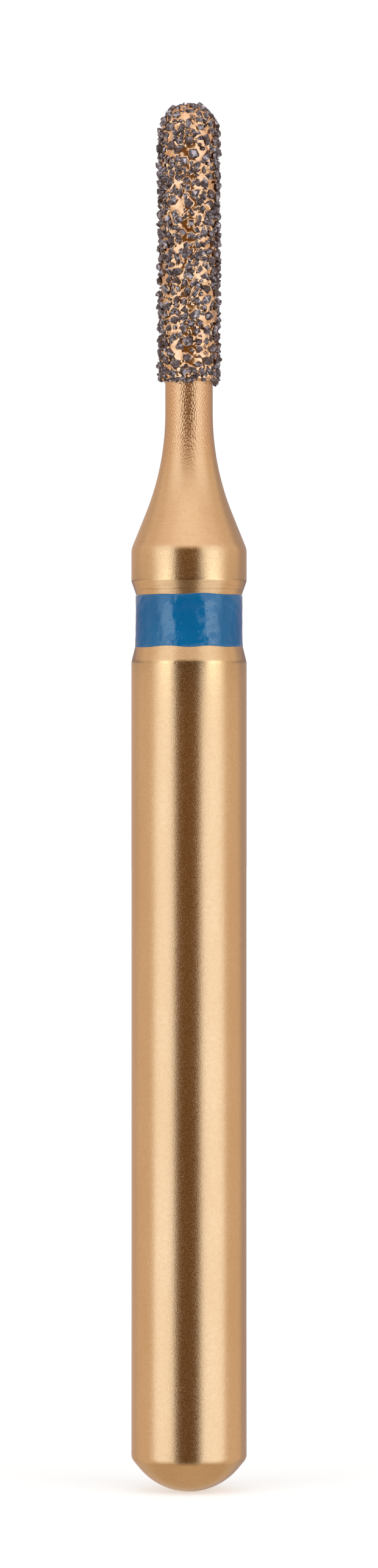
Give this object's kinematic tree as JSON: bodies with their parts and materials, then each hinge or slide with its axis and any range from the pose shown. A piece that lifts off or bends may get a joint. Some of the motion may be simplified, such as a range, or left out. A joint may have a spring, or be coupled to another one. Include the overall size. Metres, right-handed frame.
{
  "type": "dental bur",
  "caption": "Friction-grip dental bur: plain shank with a domed end, grooved collar with a coloured grit ring, flared neck and a round-ended cylindrical head set with diamond grit.",
  "frame": {"origin": "lowest point of the shank's domed end, on the axis", "axes": "+Z along the axis from the shank to the tip of the head; the part is round about Z"},
  "size_m": [0.0016, 0.0016, 0.0193],
  "materials": {
    "gold_coated_steel": "turned and ground steel under a thin gold-coloured coating, satin on the shank",
    "blue_lacquer": "glossy blue lacquer with a slightly uneven surface",
    "gold_plated_bond": "bright plated metal bond under the same gold-coloured coating",
    "diamond_grain": "glassy dark grey grains with sharp facets"
  },
  "bodies": {
    "root": {"turned_blank": "gold_coated_steel", "colour_ring": "blue_lacquer", "bond_layer": "gold_plated_bond", "diamond_grit": "diamond_grain"}
  },
  "joints": []
}
